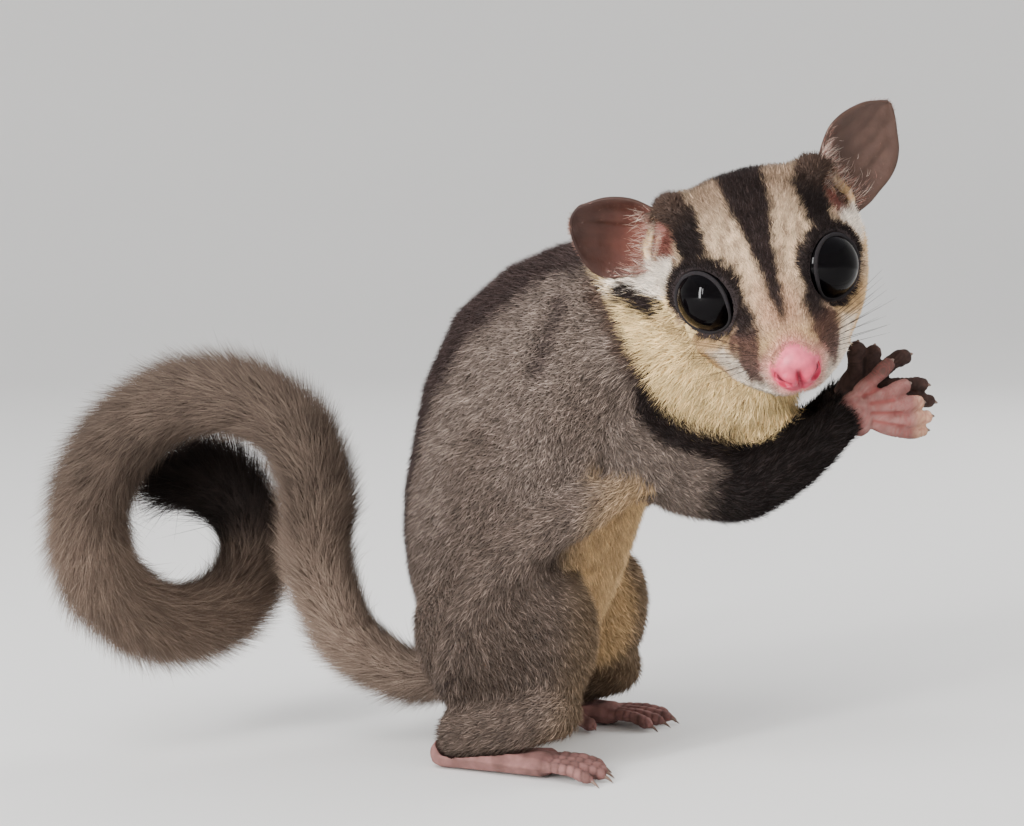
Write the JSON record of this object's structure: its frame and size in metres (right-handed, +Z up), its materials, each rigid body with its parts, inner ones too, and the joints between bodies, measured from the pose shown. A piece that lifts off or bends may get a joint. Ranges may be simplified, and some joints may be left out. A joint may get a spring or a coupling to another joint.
{
  "type": "sugar glider",
  "caption": "Life-size still model of a sugar glider sitting hunched, hands held together, head turned to the viewer, bushy tail curled behind it.",
  "frame": {"origin": "centre of the bounding box of the figure on the floor plane that its feet rest on", "axes": "+X from the tail towards the hands, +Y from the face towards the far side, +Z up"},
  "size_m": [0.1311, 0.0631, 0.0969],
  "materials": {
    "grey_fur": "short dense grizzled grey-brown fur with pale tips",
    "cream_fur": "short soft cream fur with dark brown stripes and eye rings",
    "dark_fur": "short dark brown fur",
    "tail_fur": "long bushy brown fur, near black at the tip",
    "pink_skin": "bare creased pink skin with a soft sheen",
    "nose_skin": "moist smooth pink skin",
    "ear_skin": "thin bare brown-pink skin, redder towards the root",
    "eye_gloss": "wet glossy black eye",
    "claw_horn": "pale translucent horn"
  },
  "bodies": {
    "root": {"head": "cream_fur", "neck": "cream_fur", "torso": "grey_fur", "nose": "nose_skin", "eye_right": "eye_gloss", "eye_left": "eye_gloss", "ear_right": "ear_skin", "ear_left": "ear_skin", "upper_arm_right": "dark_fur", "forearm_right": "dark_fur", "hand_right": "pink_skin", "thigh_right": "grey_fur", "shin_right": "grey_fur", "foot_right": "pink_skin", "gliding_membrane_right": "grey_fur", "upper_arm_left": "dark_fur", "forearm_left": "dark_fur", "hand_left": "pink_skin", "thigh_left": "grey_fur", "shin_left": "grey_fur", "foot_left": "pink_skin", "gliding_membrane_left": "grey_fur", "tail_root": "tail_fur", "tail_rise": "tail_fur", "tail_bow": "tail_fur", "tail_outer": "tail_fur", "tail_under": "tail_fur", "tail_tip": "tail_fur"}
  },
  "joints": []
}
